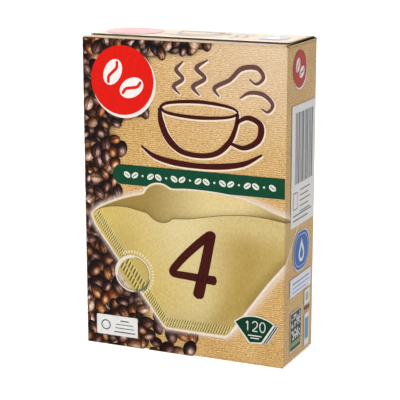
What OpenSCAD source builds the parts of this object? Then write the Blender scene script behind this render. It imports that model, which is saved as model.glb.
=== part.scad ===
// Sealed folding carton for paper coffee filters, in millimetres.
//
// One sheet of folding boxboard: four panels round the pack, and at each end
// two dust flaps folded in first, then the inner flap, then the outer flap
// glued down over it. The stack of filters inside can't be seen, so the carton
// is one closed solid, with the true folded form at both of its ends.
//
// The front panel faces -Y, the outer flaps hinge on the back panel, and the
// origin is the middle of the base, where the carton stands.

/* [Carton] */
// Width across the front panel
carton_w = 126; // [90:1:170]
// Depth from the front panel to the back panel
carton_d = 47; // [36:1:80]
// Height from the bottom outer flap to the top outer flap
carton_h = 185; // [120:1:260]

/* [Board] */
// Thickness of the folding boxboard
board_t = 0.45; // [0.3:0.05:0.5]
// Inside radius of every crease
fold_r = 0.2; // [0.1:0.05:0.3]
// Strip of the glue lap that shows between its crease and the raw board edge
seam_strip = 0.3; // [0.1:0.1:2]

/* [Outer and inner flaps] */
// Distance from the front crease back to the free edge of the outer flap
outer_setback = 6.5; // [3:0.5:16]
// Distance of the outer flap's sides from the side panels
outer_inset = 1.5; // [1.2:0.1:3.5]
// Distance from the back crease to the free edge of the inner flap
inner_setback = 10; // [3:1:16]
// Distance of the inner flap's sides from the side panels, at its crease
inner_inset = 0.75; // [0.7:0.05:2]
// How much further in each side of the inner flap is at its free edge
inner_taper = 2; // [0.5:0.25:3]
// Radius of the outer flap's two free corners
flap_corner_r = 1.5; // [0.5:0.25:4]
// Thickness of the glue between the outer flap and the inner flap
glue_t = 0.2; // [0.1:0.05:0.5]
// Unglued border along the outer flap's free edge
glue_border = 3; // [1:0.5:8]

/* [Dust flaps] */
// Gap between the underside of the inner flap and the side creases
dust_gap = 0.15; // [0.1:0.05:1]
// Angle at which the dust flaps sag into the carton
dust_slope = 32; // [10:1:45]
// How far in from the side panels the dust flaps stay clear of the filters
dust_reach = 6.5; // [5.5:0.25:10]
// Slit between each side of a dust flap and the panel beside it
dust_slit = 0.9; // [0.4:0.1:2]

/* [Hidden] */

// Straight pieces in each quarter turn of a crease
crease_steps = 6;
// Overlap of the pieces that are joined inside the solid
lap = 1;

// Outside radius of every crease
crease_r = board_t + fold_r;
// Levels under the outer face of the outer flap
inner_top = -(board_t + glue_t);
inner_under = inner_top - board_t;
side_top = inner_under - dust_gap;
wall_top = side_top - crease_r;
// Where the dust flap's slope begins, and how deep it is at its inner end
slope_start = crease_r * (1 + sin(dust_slope));
slope_drop = (dust_reach - slope_start) * tan(dust_slope);
dust_foot = side_top - crease_r * (1 - cos(dust_slope)) - slope_drop;
// The panels are hollow down to this level, beside the filters
filter_top = dust_foot - lap;
// Raw edge of the back panel, where it is glued over the lap
seam_x = -carton_w / 2 + crease_r + seam_strip;

board_colour = "BurlyWood";
edge_colour = "LightGray";

// Points on an arc about [x, y], from angle a to angle b
function arc(x, y, r, a, b, steps = crease_steps) =
    [for (i = [0:steps]) let (w = a + (b - a) * i / steps) [x + r * cos(w), y + r * sin(w)]];

// Section of a panel and the flap folded from it, with its panel's outer face
// at 0 and its flap's outer face at the height top
function fold_section(top, length) = concat(
    [[0, wall_top - lap]],
    arc(crease_r, top - crease_r, crease_r, 180, 90),
    [[length, top], [length, top - board_t]],
    arc(crease_r, top - crease_r, fold_r, 90, 180),
    [[board_t, wall_top - lap]]
);

// Extrudes a section drawn in Y and Z along X, over the carton's whole width
module across() {
    rotate([90, 0, 90]) linear_extrude(carton_w, center = true) children();
}

// Repeats what is drawn for the right-hand side on the left
module both_sides() {
    children();
    mirror([1, 0, 0]) children();
}

// Plan of the four panels: three creases and, at the back left, the lap's
// crease with the raw edge of the back panel beside it
module panel_plan() {
    x = carton_w / 2;
    y = carton_d / 2;
    r = crease_r;
    polygon(concat(
        arc(x - r, -y + r, r, -90, 0),
        arc(x - r, y - r, r, 0, 90),
        [[seam_x, y], [seam_x, y - board_t]],
        arc(-x + r, y - board_t - r, r, 90, 180),
        arc(-x + r, -y + r, r, 180, 270)
    ));
}

// The filled part of the carton, between the two closures
module packed_sleeve() {
    color(board_colour)
    translate([0, 0, -filter_top])
    linear_extrude(carton_h + 2 * filter_top) panel_plan();
}

// The four panels above the filters, as bare board
module panel_rim() {
    color(board_colour)
    translate([0, 0, filter_top - lap]) linear_extrude(wall_top - filter_top + lap)
    difference() {
        panel_plan();
        square([carton_w - 2 * board_t, carton_d - 2 * board_t], center = true);
    }
}

// The front and back panels reach up to their own creases, past the sides'
module panel_tops() {
    x = carton_w / 2 - crease_r;
    y = carton_d / 2;
    foot = wall_top - lap;
    color(board_colour) {
        translate([-x, -y, foot]) cube([2 * x, board_t, inner_top - crease_r - foot]);
        translate([seam_x, y - board_t, foot]) cube([x - seam_x, board_t, -crease_r - foot]);
    }
}

// A dust flap with its side crease, sagging from the right-hand panel
module dust_flap() {
    width = carton_d - 2 * (board_t + dust_slit);
    color(edge_colour)
    translate([carton_w / 2, 0, 0]) mirror([1, 0, 0]) rotate([90, 0, 0])
    linear_extrude(width, center = true) polygon(concat(
        [[0, filter_top - lap]],
        arc(crease_r, wall_top, crease_r, 180, 90 - dust_slope),
        [[dust_reach, dust_foot], [dust_reach, filter_top - lap]]
    ));
}

// The inner flap, folded back from the front panel, narrower at its free edge
module inner_flap() {
    x = carton_w / 2 - inner_inset;
    y = carton_d / 2;
    length = carton_d - inner_setback;
    color(board_colour)
    intersection() {
        translate([0, -y, 0]) across() polygon(fold_section(inner_top, length));
        translate([0, 0, wall_top - 2 * lap]) linear_extrude(-wall_top + 3 * lap)
        polygon([
            [-x, -y - lap], [x, -y - lap], [x, -y],
            [x - inner_taper, y - inner_setback], [x - inner_taper, y],
            [-x + inner_taper, y], [-x + inner_taper, y - inner_setback], [-x, -y]
        ]);
    }
}

// The outer flap, folded forward from the back panel, with round free corners
module outer_flap() {
    x = carton_w / 2 - outer_inset;
    y = carton_d / 2;
    r = flap_corner_r;
    edge_y = -y + outer_setback;
    color(board_colour)
    intersection() {
        translate([0, y, 0]) mirror([0, 1, 0])
        across() polygon(fold_section(0, carton_d - outer_setback));
        translate([0, 0, wall_top - 2 * lap]) linear_extrude(-wall_top + 3 * lap)
        polygon(concat(
            [[x, y + lap], [-x, y + lap]],
            arc(-x + r, edge_y + r, r, 180, 270),
            arc(x - r, edge_y + r, r, 270, 360)
        ));
    }
}

// The filters' place up to the flaps, with the glue between the two flaps. It
// ends halfway through the board, so that it is joined to every panel and flap
module filters_and_glue() {
    y = carton_d / 2;
    mid_r = fold_r + board_t / 2;
    glue_y = -y + outer_setback + glue_border;
    color(edge_colour)
    intersection() {
        across() polygon(concat(
            [[-y + board_t / 2, filter_top - lap]],
            arc(-y + crease_r, inner_top - crease_r, mid_r, 180, 90),
            [[glue_y, inner_top - board_t / 2], [glue_y, -board_t / 2]],
            arc(y - crease_r, -crease_r, mid_r, 90, 0),
            [[y - board_t / 2, filter_top - lap]]
        ));
        translate([0, 0, filter_top - lap])
        cube([carton_w - 2 * dust_reach, 2 * carton_d, -2 * filter_top + 4 * lap], center = true);
    }
}

// One end of the carton, with the outer face of its outer flap at height 0
module closure() {
    panel_rim();
    panel_tops();
    both_sides() dust_flap();
    inner_flap();
    outer_flap();
    filters_and_glue();
}

module carton() {
    union() {
        packed_sleeve();
        translate([0, 0, carton_h]) closure();
        mirror([0, 0, 1]) closure();
    }
}

carton();
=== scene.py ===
import math

import bpy
import numpy as np
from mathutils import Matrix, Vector


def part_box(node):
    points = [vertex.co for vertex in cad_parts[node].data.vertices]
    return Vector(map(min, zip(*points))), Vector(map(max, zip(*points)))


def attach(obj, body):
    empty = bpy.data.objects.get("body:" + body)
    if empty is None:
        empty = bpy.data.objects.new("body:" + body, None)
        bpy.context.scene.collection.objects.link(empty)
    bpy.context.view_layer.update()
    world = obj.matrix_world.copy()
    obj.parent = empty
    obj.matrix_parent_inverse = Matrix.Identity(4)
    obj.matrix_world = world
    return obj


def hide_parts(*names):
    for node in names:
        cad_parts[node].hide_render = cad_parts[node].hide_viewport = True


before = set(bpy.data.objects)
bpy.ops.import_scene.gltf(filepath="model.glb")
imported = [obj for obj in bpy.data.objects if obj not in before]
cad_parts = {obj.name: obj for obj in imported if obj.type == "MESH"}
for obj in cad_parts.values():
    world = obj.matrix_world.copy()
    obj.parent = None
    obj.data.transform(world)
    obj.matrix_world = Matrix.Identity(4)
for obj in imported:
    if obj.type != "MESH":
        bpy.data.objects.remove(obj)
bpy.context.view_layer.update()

# The camera stands at the photograph's viewing angle: to the right of the front panel and a
# little above the carton, with a long lens. All sizes in this script are in millimetres.
MM = 0.001
LENS = 126.9
VIEW_AZIMUTH = 24.1
VIEW_HEIGHT = 13.0
VIEW_DISTANCE = 826.8
AIM = (0.6, 0.0, 88.4)

low_corner, high_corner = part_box("carton")
WIDE, DEEP, TALL = (high_corner - low_corner) / MM


def away(azimuth, elevation):
    """The direction away from the carton, by degrees to the right of its front and degrees up."""
    around, above = math.radians(azimuth), math.radians(elevation)
    level = math.cos(above)
    return Vector((math.sin(around) * level, -math.cos(around) * level, math.sin(above)))


towards = away(VIEW_AZIMUTH, VIEW_HEIGHT)
camera = bpy.data.objects.new("camera", bpy.data.cameras.new("camera"))
camera.data.lens = LENS
camera.data.clip_end = 40
camera.location = (Vector(AIM) + towards * VIEW_DISTANCE) * MM
camera.rotation_euler = towards.to_track_quat("Z", "Y").to_euler()
bpy.context.collection.objects.link(camera)
bpy.context.scene.camera = camera
bpy.context.scene.view_settings.view_transform = "Standard"


# The board: one die-cut sheet of folding boxboard, 0.45 mm thick, creased and folded into four
# panels, with a glue lap under the back panel. It is printed and varnished on its outer side
# and grey inside. Here are the four panels, with the ways to fold a sheet and to build a mesh.
BOARD = 0.45
CREASE = 0.65
GLUE = 0.2
DUST_GAP = 0.15
LAP = 14.0
SEAM_STRIP = 0.3
SWELL_WIDE = 0.4
SWELL_DEEP = 0.25
# Where each panel ends and its crease begins: the flaps lie one under the other.
BACK_TOP = TALL - CREASE
FRONT_TOP = BACK_TOP - BOARD - GLUE
SIDE_TOP = FRONT_TOP - BOARD - DUST_GAP
# The length of sheet that a crease takes up.
BEND = CREASE * math.pi / 2
BEND_STEPS = 7
# How brightly the front panel is lit, where 1 shows a white ink as white, and what its varnish adds.
FRONT_LIGHT = 1.38
VARNISH_GLARE = 0.008
# Lengths along the flat sheet. It is measured from the front left crease to the right.
FRONT = WIDE - 2 * CREASE + BEND
SIDE = DEEP - 2 * CREASE + BEND


def circle(angle):
    """Places round a circle of radius 1, at angles in radians."""
    return np.stack([np.cos(angle), np.sin(angle)], 1)


def fold(stretches, start, heading):
    """Carries the outer face of the board along straight and bent stretches, each a length and a turn.
    The direction turns evenly along a stretch, and the place is the running sum of the short chords.
    Gives the length along the sheet, the places, and the normals, a right angle to the right."""
    along = [np.zeros(1)]
    facing = [np.full(1, heading)]
    for length, turn in stretches:
        share = np.linspace(0, 1, (BEND_STEPS if turn else 1) + 1)[1:]
        along.append(along[-1][-1] + length * share)
        facing.append(facing[-1][-1] + np.radians(turn) * share)
    along = np.concatenate(along)
    facing = np.concatenate(facing)
    middle = (facing[1:] + facing[:-1]) / 2
    chord = np.diff(along)[:, None] * circle(middle)
    place = np.vstack([np.zeros((1, 2)), np.cumsum(chord, 0)]) + start
    return along, place, np.stack([np.sin(facing), -np.cos(facing)], 1)


# The plan of the sheet, from the hidden end of the glue lap round to the back panel's raw edge.
lap_flat = LAP - BEND / 2
lap_side = DEEP - BOARD - 2 * CREASE
plan_along, plan_place, plan_normal = fold(
    [
        (lap_flat, 0), (BEND, 90), (lap_side, 0), (BEND, 90),
        (WIDE - 2 * CREASE, 0), (BEND, 90), (DEEP - 2 * CREASE, 0), (BEND, 90),
        (WIDE - 2 * CREASE - SEAM_STRIP, 0),
    ],
    (-WIDE / 2 + CREASE + lap_flat, DEEP / 2 - BOARD), math.pi,
)
plan_along = plan_along - (lap_flat + BEND * 1.5 + lap_side)
SHEET_START, SHEET_END = plan_along[0], plan_along[-1]
PANEL_EDGES = np.array([SHEET_START, BEND / 2 - SIDE, 0, FRONT, FRONT + SIDE, 2 * FRONT + SIDE])
PANEL_SWELLS = np.array([0, SWELL_DEEP, SWELL_WIDE, SWELL_DEEP, SWELL_WIDE])


def on_sleeve(s, z, lift):
    """Place at s along the sheet and height z, lifted off the board by lift. Each panel swells by a low
    cushion: a parabola across times one upwards, nought at its edges and most at its middle."""
    x, y = (np.interp(s, plan_along, values) for values in plan_place.T)
    normal_x, normal_y = (np.interp(s, plan_along, values) for values in plan_normal.T)
    panel = np.clip(np.searchsorted(PANEL_EDGES, s, side="right") - 1, 0, 4)
    across = (s - PANEL_EDGES[panel]) / (PANEL_EDGES[panel + 1] - PANEL_EDGES[panel])
    up = np.clip(z / TALL, 0, 1)
    out = lift + PANEL_SWELLS[panel] * 16 * across * (1 - across) * up * (1 - up)
    return np.stack([x + normal_x * out, y + normal_y * out, z + 0 * s], -1)


def grid_faces(rows, columns):
    """Corner numbers of the quads between the points of a grid that is kept row by row."""
    at = np.arange(rows * columns).reshape(rows, columns)
    return np.stack([at[:-1, :-1], at[:-1, 1:], at[1:, 1:], at[1:, :-1]], -1).reshape(-1, 4)


def board_slab(outer, inner):
    """A closed piece of board between two grids of points: its printed face, its inner face and its
    four raw edges. Gives the points, the quads and, for each quad, whether it is bare or smooth."""
    rows, columns = outer.shape[:2]
    points = np.concatenate([outer.reshape(-1, 3), inner.reshape(-1, 3)])
    face = grid_faces(rows, columns)
    at = np.arange(rows * columns).reshape(rows, columns)
    rim = np.concatenate([at[0, :-1], at[:-1, -1], at[-1, :0:-1], at[:0:-1, 0]])
    ahead = np.roll(rim, -1)
    edge = np.stack([rim, rim + rows * columns, ahead + rows * columns, ahead], 1)
    quads = np.concatenate([face, face[:, ::-1] + rows * columns, edge])
    bare = np.concatenate([np.zeros(len(face)), np.ones(len(face) + len(edge))])
    smooth = np.concatenate([np.ones(2 * len(face)), np.zeros(len(edge))])
    return points, quads, bare, smooth


def build(name, points, face_groups, material, uv=None, smooth=None, on_points=None, on_faces=None):
    """Makes one piece from points in millimetres, with its own values on points and faces."""
    mesh = bpy.data.meshes.new(name)
    faces = [face for group in face_groups for face in group.tolist()]
    mesh.from_pydata((points * MM).tolist(), [], faces)
    flags = np.ones(len(faces)) if smooth is None else smooth
    mesh.polygons.foreach_set("use_smooth", flags.astype(bool))
    if uv is not None:
        corner = np.empty(len(mesh.loops), np.int32)
        mesh.loops.foreach_get("vertex_index", corner)
        mesh.uv_layers.new(name="sheet").data.foreach_set("uv", uv[corner].astype(np.float32).ravel())
    for domain, values in (("POINT", on_points or {}), ("FACE", on_faces or {})):
        for key, value in values.items():
            put_values(mesh, key, domain, value)
    mesh.materials.append(material)
    piece = bpy.data.objects.new(name, mesh)
    bpy.context.collection.objects.link(piece)
    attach(piece, "root")
    return piece


def put_values(mesh, key, domain, value):
    """Keeps a number or a linear colour for each point or face of a mesh, under a name."""
    value = np.asarray(value, np.float32)
    if value.ndim == 1:
        mesh.attributes.new(key, "FLOAT", domain).data.foreach_set("value", value)
    else:
        mesh.attributes.new(key, "FLOAT_COLOR", domain).data.foreach_set("color", value.ravel())


def linear(code):
    """The linear colour of an sRGB hex code, with full alpha."""
    share = np.array([int(code[i:i + 2], 16) / 255 for i in (1, 3, 5)])
    light = np.where(share <= 0.04045, share / 12.92, ((share + 0.055) / 1.055) ** 2.4)
    return (*light.tolist(), 1.0)


def printed(code):
    """The base colour of an ink from its hex code as seen on the lit front panel: the linear colour
    less the varnish's reflection, over the panel's share of light."""
    seen = np.array(linear(code)[:3])
    return (*np.clip((seen - VARNISH_GLARE) / FRONT_LIGHT, 0.0008, 0.9).tolist(), 1.0)


def node(tree, kind, inputs=(), **settings):
    """Adds a node. Each input is a socket's name or number with a value, another node's output, or a
    node, which stands for its first output."""
    made = tree.nodes.new("ShaderNode" + kind)
    for name, value in settings.items():
        setattr(made, name, value)
    for socket, value in dict(inputs).items():
        if isinstance(value, bpy.types.Node):
            value = value.outputs[0]
        if isinstance(value, bpy.types.NodeSocket):
            tree.links.new(value, made.inputs[socket])
        else:
            made.inputs[socket].default_value = value
    return made


def new_material(name):
    """A material with no nodes yet, and its tree."""
    material = bpy.data.materials.new(name)
    material.use_nodes = True
    material.node_tree.nodes.clear()
    return material, material.node_tree


FIBRE_PITCH = 1.2
VARNISH_IOR = 1.17
PRINT_ROUGHNESS = 0.36
BARE_ROUGHNESS = 0.9


def varnish(tree, colour, roughness, fibre_depth=0.004):
    """Ends a material as printed board under a satin varnish. Its IOR is less than a varnish's 1.5,
    because the room is white all round and would wash out the dark inks. The board's fibres lift the
    varnish by a few thousandths of a millimetre. They are drawn coarser than real ones, to show."""
    fibres = node(tree, "TexNoise", {"Vector": node(tree, "TexCoord").outputs["Object"],
                                     "Scale": 1 / (FIBRE_PITCH * MM), "Detail": 3.0})
    bump = node(tree, "Bump", {"Height": fibres, "Strength": 1.0, "Distance": fibre_depth * MM})
    shader = node(tree, "BsdfPrincipled", {"Base Color": colour, "Roughness": roughness, "IOR": VARNISH_IOR,
                                           "Normal": bump})
    node(tree, "OutputMaterial", {0: shader})


# Printed board: offset print of sackcloth over the whole sheet. Jute is woven with a thread
# every 0.6 to 0.8 mm. It is drawn coarser, because finer threads don't show in the render.
WARP_PITCH = 1.6
WEFT_PITCH = 1.2
WANDER_PITCH = 3.5
PATCH_PITCH = 20.0
EDGE_GRAIN = 0.8
board_material, tree = new_material("printed_boxboard")
sheet = node(tree, "UVMap", uv_map="sheet")
# The threads wander by about 0.4 mm.
wander = node(tree, "TexNoise", {"Vector": sheet, "Scale": 1 / WANDER_PITCH, "Detail": 2.0},
              noise_dimensions="2D")
drift = node(tree, "VectorMath", {0: wander.outputs[1], 1: (0.5, 0.5, 0.5)}, operation="SUBTRACT")
woven = node(tree, "VectorMath", {0: drift, 1: (1.4, 1.8, 0), 2: sheet}, operation="MULTIPLY_ADD")
turns = node(tree, "VectorMath", {0: woven, 1: (math.pi / WARP_PITCH, math.pi / WEFT_PITCH, 0)},
             operation="MULTIPLY")
apart = node(tree, "SeparateXYZ", {0: turns})
warp_wave, weft_wave = (node(tree, "Math", {0: apart.outputs[way]}, operation="SINE") for way in (0, 1))
warp_ridge, weft_ridge = (
    node(tree, "Math", {0: wave}, operation="ABSOLUTE") for wave in (warp_wave, weft_wave)
)
# A warp thread lies over the weft where both waves have the same sign, and that only just shows.
same_sign = node(tree, "Math", {0: warp_wave, 1: weft_wave}, operation="MULTIPLY")
warp_over = node(tree, "MapRange", {0: same_sign, 1: 0.1, 2: 0.7, 4: 0.7})


def yarn(wide, high):
    """Light and dark stretches of thread, of about the given width and height in millimetres."""
    stretched = node(tree, "Mapping", {0: woven, 3: (1 / wide, 1 / high, 1)})
    return node(tree, "TexNoise", {"Vector": stretched, "Scale": 1.0, "Detail": 1.0, "Roughness": 0.4},
                noise_dimensions="2D")


ridge = node(tree, "Mix", {0: warp_over, 2: weft_ridge, 3: warp_ridge})
thread = node(tree, "Mix", {0: warp_over, 2: yarn(1.5, 0.65), 3: yarn(0.75, 1.4)})
patches = node(tree, "TexNoise", {"Vector": sheet, "Scale": 1 / PATCH_PITCH, "Detail": 2.0},
               noise_dimensions="2D")
# How light the cloth is: 0.3 of the ridge, 0.75 of the yarn and 0.16 of the patches, less 0.15.
height = node(tree, "Math", {0: thread, 1: 0.75, 2: -0.15}, operation="MULTIPLY_ADD")
for part, weight in ((ridge, 0.3), (patches, 0.16)):
    height = node(tree, "Math", {0: part, 1: weight, 2: height}, operation="MULTIPLY_ADD")
jute = node(tree, "ValToRGB", {0: height})
jute_colours = ((0.2, "#A2793F"), (0.42, "#C99E5D"), (0.58, "#DAB377"), (0.84, "#F3D9A8"))
while len(jute.color_ramp.elements) < len(jute_colours):
    jute.color_ramp.elements.new(0.5)
for stop, (at, code) in zip(jute.color_ramp.elements, jute_colours):
    stop.position = at
    stop.color = printed(code)
# The heap's shadow and the filter's pale glow lie over the cloth, and the same pale paints a sheen on
# the front's upper right and on the inner flap's strip. A cut edge and the inner face show raw grey
# board, darkened by painted shade.
grain = node(tree, "TexNoise", {"Vector": node(tree, "TexCoord").outputs["Object"],
                                "Scale": 1 / (EDGE_GRAIN * MM), "Detail": 4.0})
raw_board_shaded = node(tree, "Mix", {0: grain, 6: linear("#3A3029"), 7: linear("#62564B")}, data_type="RGBA").outputs[2]
colour = jute
for value, over in (("heap", printed("#1E110D")), ("glow_and_sheen", printed("#F3E4D6")), ("bare", raw_board_shaded)):
    cover = node(tree, "Attribute", attribute_name=value).outputs[2]
    colour = node(tree, "Mix", {0: cover, 6: colour, 7: over}, data_type="RGBA").outputs[2]
varnish(tree, colour, node(tree, "Mix", {0: cover, 2: PRINT_ROUGHNESS, 3: BARE_ROUGHNESS}))


def between(first, last, step):
    """Even steps from first up to, not including, last, of at most the given step."""
    return np.linspace(first, last, max(1, math.ceil((last - first) / step)), endpoint=False)


# The printed panels are finely divided, so that the shadow and the glow on them are soft.
PANEL_ROWS = 124
columns = np.unique(np.concatenate([
    plan_along, between(0, FRONT, 1.5), between(FRONT, FRONT + SIDE, 2.0),
    between(FRONT + SIDE, SHEET_END, 6.0), between(-SIDE, 0, 3.0),
]).round(4))
rows = np.linspace(0, 1, PANEL_ROWS)
panel_top = np.interp(columns, [-BEND / 2, BEND / 2, FRONT - BEND / 2, FRONT + BEND / 2,
                                FRONT + SIDE - BEND / 2, FRONT + SIDE + BEND / 2],
                      [SIDE_TOP, FRONT_TOP, FRONT_TOP, SIDE_TOP, SIDE_TOP, BACK_TOP])
s_grid = np.broadcast_to(columns, (len(rows), len(columns)))
z_grid = (TALL - panel_top) + rows[:, None] * (2 * panel_top - TALL)
outer_grid, inner_grid = (on_sleeve(s_grid, z_grid, lift) for lift in (0.0, -BOARD))
points, quads, bare_faces, smooth_faces = board_slab(outer_grid, inner_grid)
board_places = np.stack([s_grid.ravel(), z_grid.ravel()], 1)
carton = build("carton_panels", points, [quads], board_material, uv=np.tile(board_places, (2, 1)),
               smooth=smooth_faces, on_faces={"bare": bare_faces})
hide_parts("carton")


# The flaps: at each end two dust flaps are folded in first and sag into the carton, then the
# inner flap folds back from the front panel, and the outer flap folds forward from the back
# panel and is glued down over it. All are the same printed sheet.
OUTER_REACH = DEEP - 6.5
OUTER_INSET = 1.5
OUTER_CORNER = 1.5
INNER_REACH = DEEP - 10.0
INNER_INSET = 0.75
INNER_TAPER = 2.0
DUST_SLOPE = 32.0
DUST_SLIT = 0.9
DUST_SAG = 6.0
DUST_KNEE = 6.0
DUST_REACH = 28.0
FREE_BORDER = 4.0
FREE_RISE = 0.25
FLAP_COLUMNS = 41
# A painted sheen pales the print on the strip of the upper inner flap that shows.
PAINTED_SHEEN_STRIP = 0.35


def flap(name, stretches, panel_top_z, half_width, hinge, inwards, sheet_from, top, curl=None):
    """A flap folded over from its panel's top. Its section is folded in the plane of the inward
    direction and the height, and swept along the hinge, as wide at each row as half_width says.
    hinge is the plan place of its crease's middle and inwards the direction into the carton."""
    along, place, normal = fold(stretches, (0, panel_top_z), math.pi / 2)
    fine = np.unique(np.concatenate([along, np.linspace(along[-1] - OUTER_CORNER, along[-1], 6),
                                     np.linspace(BEND, along[-1], 12)]).round(4))
    inward, level = (np.interp(fine, along, values) for values in (-place[:, 0], place[:, 1]))
    lean, rise = (np.interp(fine, along, values) for values in (-normal[:, 0], normal[:, 1]))
    if curl is not None:
        level = level + curl(fine, along[-1])
    across = half_width(fine, along[-1])[:, None] * np.linspace(-1, 1, FLAP_COLUMNS)
    inwards = np.array(inwards, float)
    beside = np.array([inwards[1], -inwards[0]])
    grids = []
    for depth in (0, BOARD):
        reach = inward - depth * lean
        flat = np.array(hinge) + reach[:, None, None] * inwards + across[..., None] * beside
        high = np.broadcast_to((level - depth * rise)[:, None, None], (*across.shape, 1))
        grids.append(np.concatenate([flat, high], -1))
    if not top:
        grids = [np.concatenate([grid[..., :2], TALL - grid[..., 2:]], -1)[:, ::-1] for grid in grids]
    points, quads, bare_faces, smooth_faces = board_slab(*grids)
    sheet_z = (panel_top_z + fine[:, None] if top else TALL - panel_top_z - fine[:, None]) + 0 * across
    sheet_s = sheet_from + (across if top else across[:, ::-1])
    uv = np.stack([sheet_s.ravel(), sheet_z.ravel()], 1)
    return build(name, points, [quads], board_material, uv=np.tile(uv, (2, 1)),
                 smooth=smooth_faces, on_faces={"bare": bare_faces})


def outer_half(along, end):
    """Half the outer flap's width: even, with round free corners."""
    past = np.clip(along - (end - OUTER_CORNER), 0, OUTER_CORNER)
    round_part = np.sqrt(np.maximum(OUTER_CORNER ** 2 - past ** 2, 1e-3))
    return WIDE / 2 - OUTER_INSET - OUTER_CORNER + round_part


def inner_half(along, end):
    """Half the inner flap's width: narrower by the taper at its free edge."""
    return WIDE / 2 - INNER_INSET - INNER_TAPER * along / end


def dust_half(along, end):
    """Half a dust flap's width: the panel less a slit at each side."""
    return DEEP / 2 - BOARD - DUST_SLIT + 0 * along


def free_edge(along, end):
    """The unglued border of the outer flap stands up a little, by the square of the way along it."""
    return FREE_RISE * np.clip((along - (end - FREE_BORDER)) / FREE_BORDER, 0, 1) ** 2


for top in (True, False):
    end = "top" if top else "bottom"
    outer_fold = [(BEND, 90), (OUTER_REACH - CREASE, 0)]
    inner_fold = [(BEND, 90), (INNER_REACH - CREASE, 0)]
    # The dust flaps sag and bend level again where they meet the filters.
    dust_fold = [(CREASE * math.radians(90 + DUST_SLOPE), 90 + DUST_SLOPE), (DUST_SAG, 0),
                 (DUST_KNEE, -DUST_SLOPE), (DUST_REACH, 0)]
    flap(f"dust_flap_right_{end}", dust_fold, SIDE_TOP, dust_half, (WIDE / 2, 0), (-1, 0),
         FRONT + SIDE / 2, top)
    flap(f"dust_flap_left_{end}", dust_fold, SIDE_TOP, dust_half, (-WIDE / 2, 0), (1, 0), -SIDE / 2, top)
    inner_flap = flap(f"inner_flap_{end}", inner_fold, FRONT_TOP, inner_half, (0, -DEEP / 2), (0, 1),
                      FRONT / 2, top).data
    # The strip of the upper inner flap that shows takes the painted sheen.
    put_values(inner_flap, "glow_and_sheen", "POINT", np.full(len(inner_flap.vertices), PAINTED_SHEEN_STRIP if top else 0.0))
    flap(f"outer_flap_{end}", outer_fold, BACK_TOP, outer_half, (0, DEEP / 2), (0, -1),
         1.5 * FRONT + SIDE, top, free_edge if top else None)


# The print's picture of a cone filter: unbleached filter paper, seen open, with the crimped
# seams along its left side and foot. It runs over the front right crease, in a pale glow. Here
# are also the ways to draw smooth lines, fields between two heights and strokes of a brush.
INK_LIFT = 0.16
INK_LAYER = 0.02
LEFT_TIP = (4.5, 79.6)
RIGHT_TIP = (146.5, 81.5)
FOOT_HEIGHT = 15.8
FOOT_LEFT = 51.9
FOOT_RIGHT = 91.0
CRIMP_WIDTH = 0.58
# The crimps lean to the right of upright by degrees, as a direction.
CRIMP_LEAN = math.radians(28)
LEANING = np.array([math.sin(CRIMP_LEAN), math.cos(CRIMP_LEAN)])


def smooth_line(points, count):
    """A smooth curve through points: a cubic between each two, whose slope at a point is half the
    way from the point before it to the point after it."""
    knots = np.array(points, float)
    padded = np.vstack([2 * knots[0] - knots[1], knots, 2 * knots[-1] - knots[-2]])
    at = np.linspace(0, len(knots) - 1, count)
    first = np.minimum(at.astype(int), len(knots) - 2)
    t = (at - first)[:, None]
    before, start, end, after = (padded[first + step] for step in range(4))
    cubic = 3 * start - before - 3 * end + after
    return 0.5 * (2 * start + (end - before) * t + (2 * before - 5 * start + 4 * end - after) * t ** 2
                  + cubic * t ** 3)


def curtain(columns, low, high, rows=2):
    """A field between two heights over columns of the sheet: even rows from low up to high."""
    share = np.linspace(0, 1, rows)[:, None]
    heights = low + share * (high - low) + 0 * columns
    places = np.stack([np.broadcast_to(columns, heights.shape), heights], -1).reshape(-1, 2)
    return places, [grid_faces(rows, len(columns))]


def way_along(line):
    """The distance along a line at each of its points."""
    return np.concatenate([[0], np.cumsum(np.hypot(*np.diff(line, axis=0).T))])


def brush(path, width, blunt=1.0):
    """A stroke of a brush: three rows of points along a path. Half the width is drawn in at both
    ends as a circle is, so that they're round, over a blunt share of that length. The width may
    change evenly from point to point."""
    path = np.asarray(path, float)
    along = way_along(path)
    share = np.linspace(0, 1, len(path))
    half = np.interp(share, np.linspace(0, 1, np.size(width)), np.atleast_1d(width)) / 2
    for gone in (along, along[-1] - along):
        half = half * np.sqrt(np.maximum(1 - (1 - np.clip(gone / (half * blunt), 0, 1)) ** 2, 0.002))
    forward = np.gradient(path, axis=0)
    forward /= np.hypot(*forward.T)[:, None]
    right = np.stack([forward[:, 1], -forward[:, 0]], 1)
    places = path[:, None] + right[:, None] * half[:, None, None] * np.array([-1, 0, 1])[:, None]
    return places.reshape(-1, 2), [grid_faces(len(path), 3)]


def tones(first, second, share):
    """The inks on the way from one to another, hex codes or colours, at shares from 0 to 1."""
    share = np.clip(share, 0, 1)[..., None]
    first, second = (np.array(printed(ink)) if isinstance(ink, str) else ink for ink in (first, second))
    return (1 - share) * first + share * second


def ease(value, first, last):
    """0 up to first, 1 from last, and a smooth step between: three times the square less twice the cube."""
    share = np.clip((value - first) / (last - first), 0, 1)
    return share * share * (3 - 2 * share)


def toned(ink, steps):
    """An ink toned towards each of a list's inks in turn, by its shares."""
    for towards_ink, share in steps:
        ink = tones(ink, towards_ink, share)
    return ink


def print_shapes(name, shapes, material, surface=on_sleeve):
    """Joins flat shapes into one printed piece. Each shape is places on the sheet, groups of faces,
    a hex code or a colour for each place, and its layer of ink, from 0 up."""
    points, groups, colours, first = [], [], [], 0
    for places, faces, ink, layer in shapes:
        points.append(surface(places[:, 0], places[:, 1], INK_LIFT + layer * INK_LAYER))
        groups += [group + first for group in faces]
        colours.append(np.tile(printed(ink), (len(places), 1)) if isinstance(ink, str) else ink)
        first += len(places)
    build(name, np.vstack(points), groups, material, on_points={"ink": np.vstack(colours)})


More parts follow.
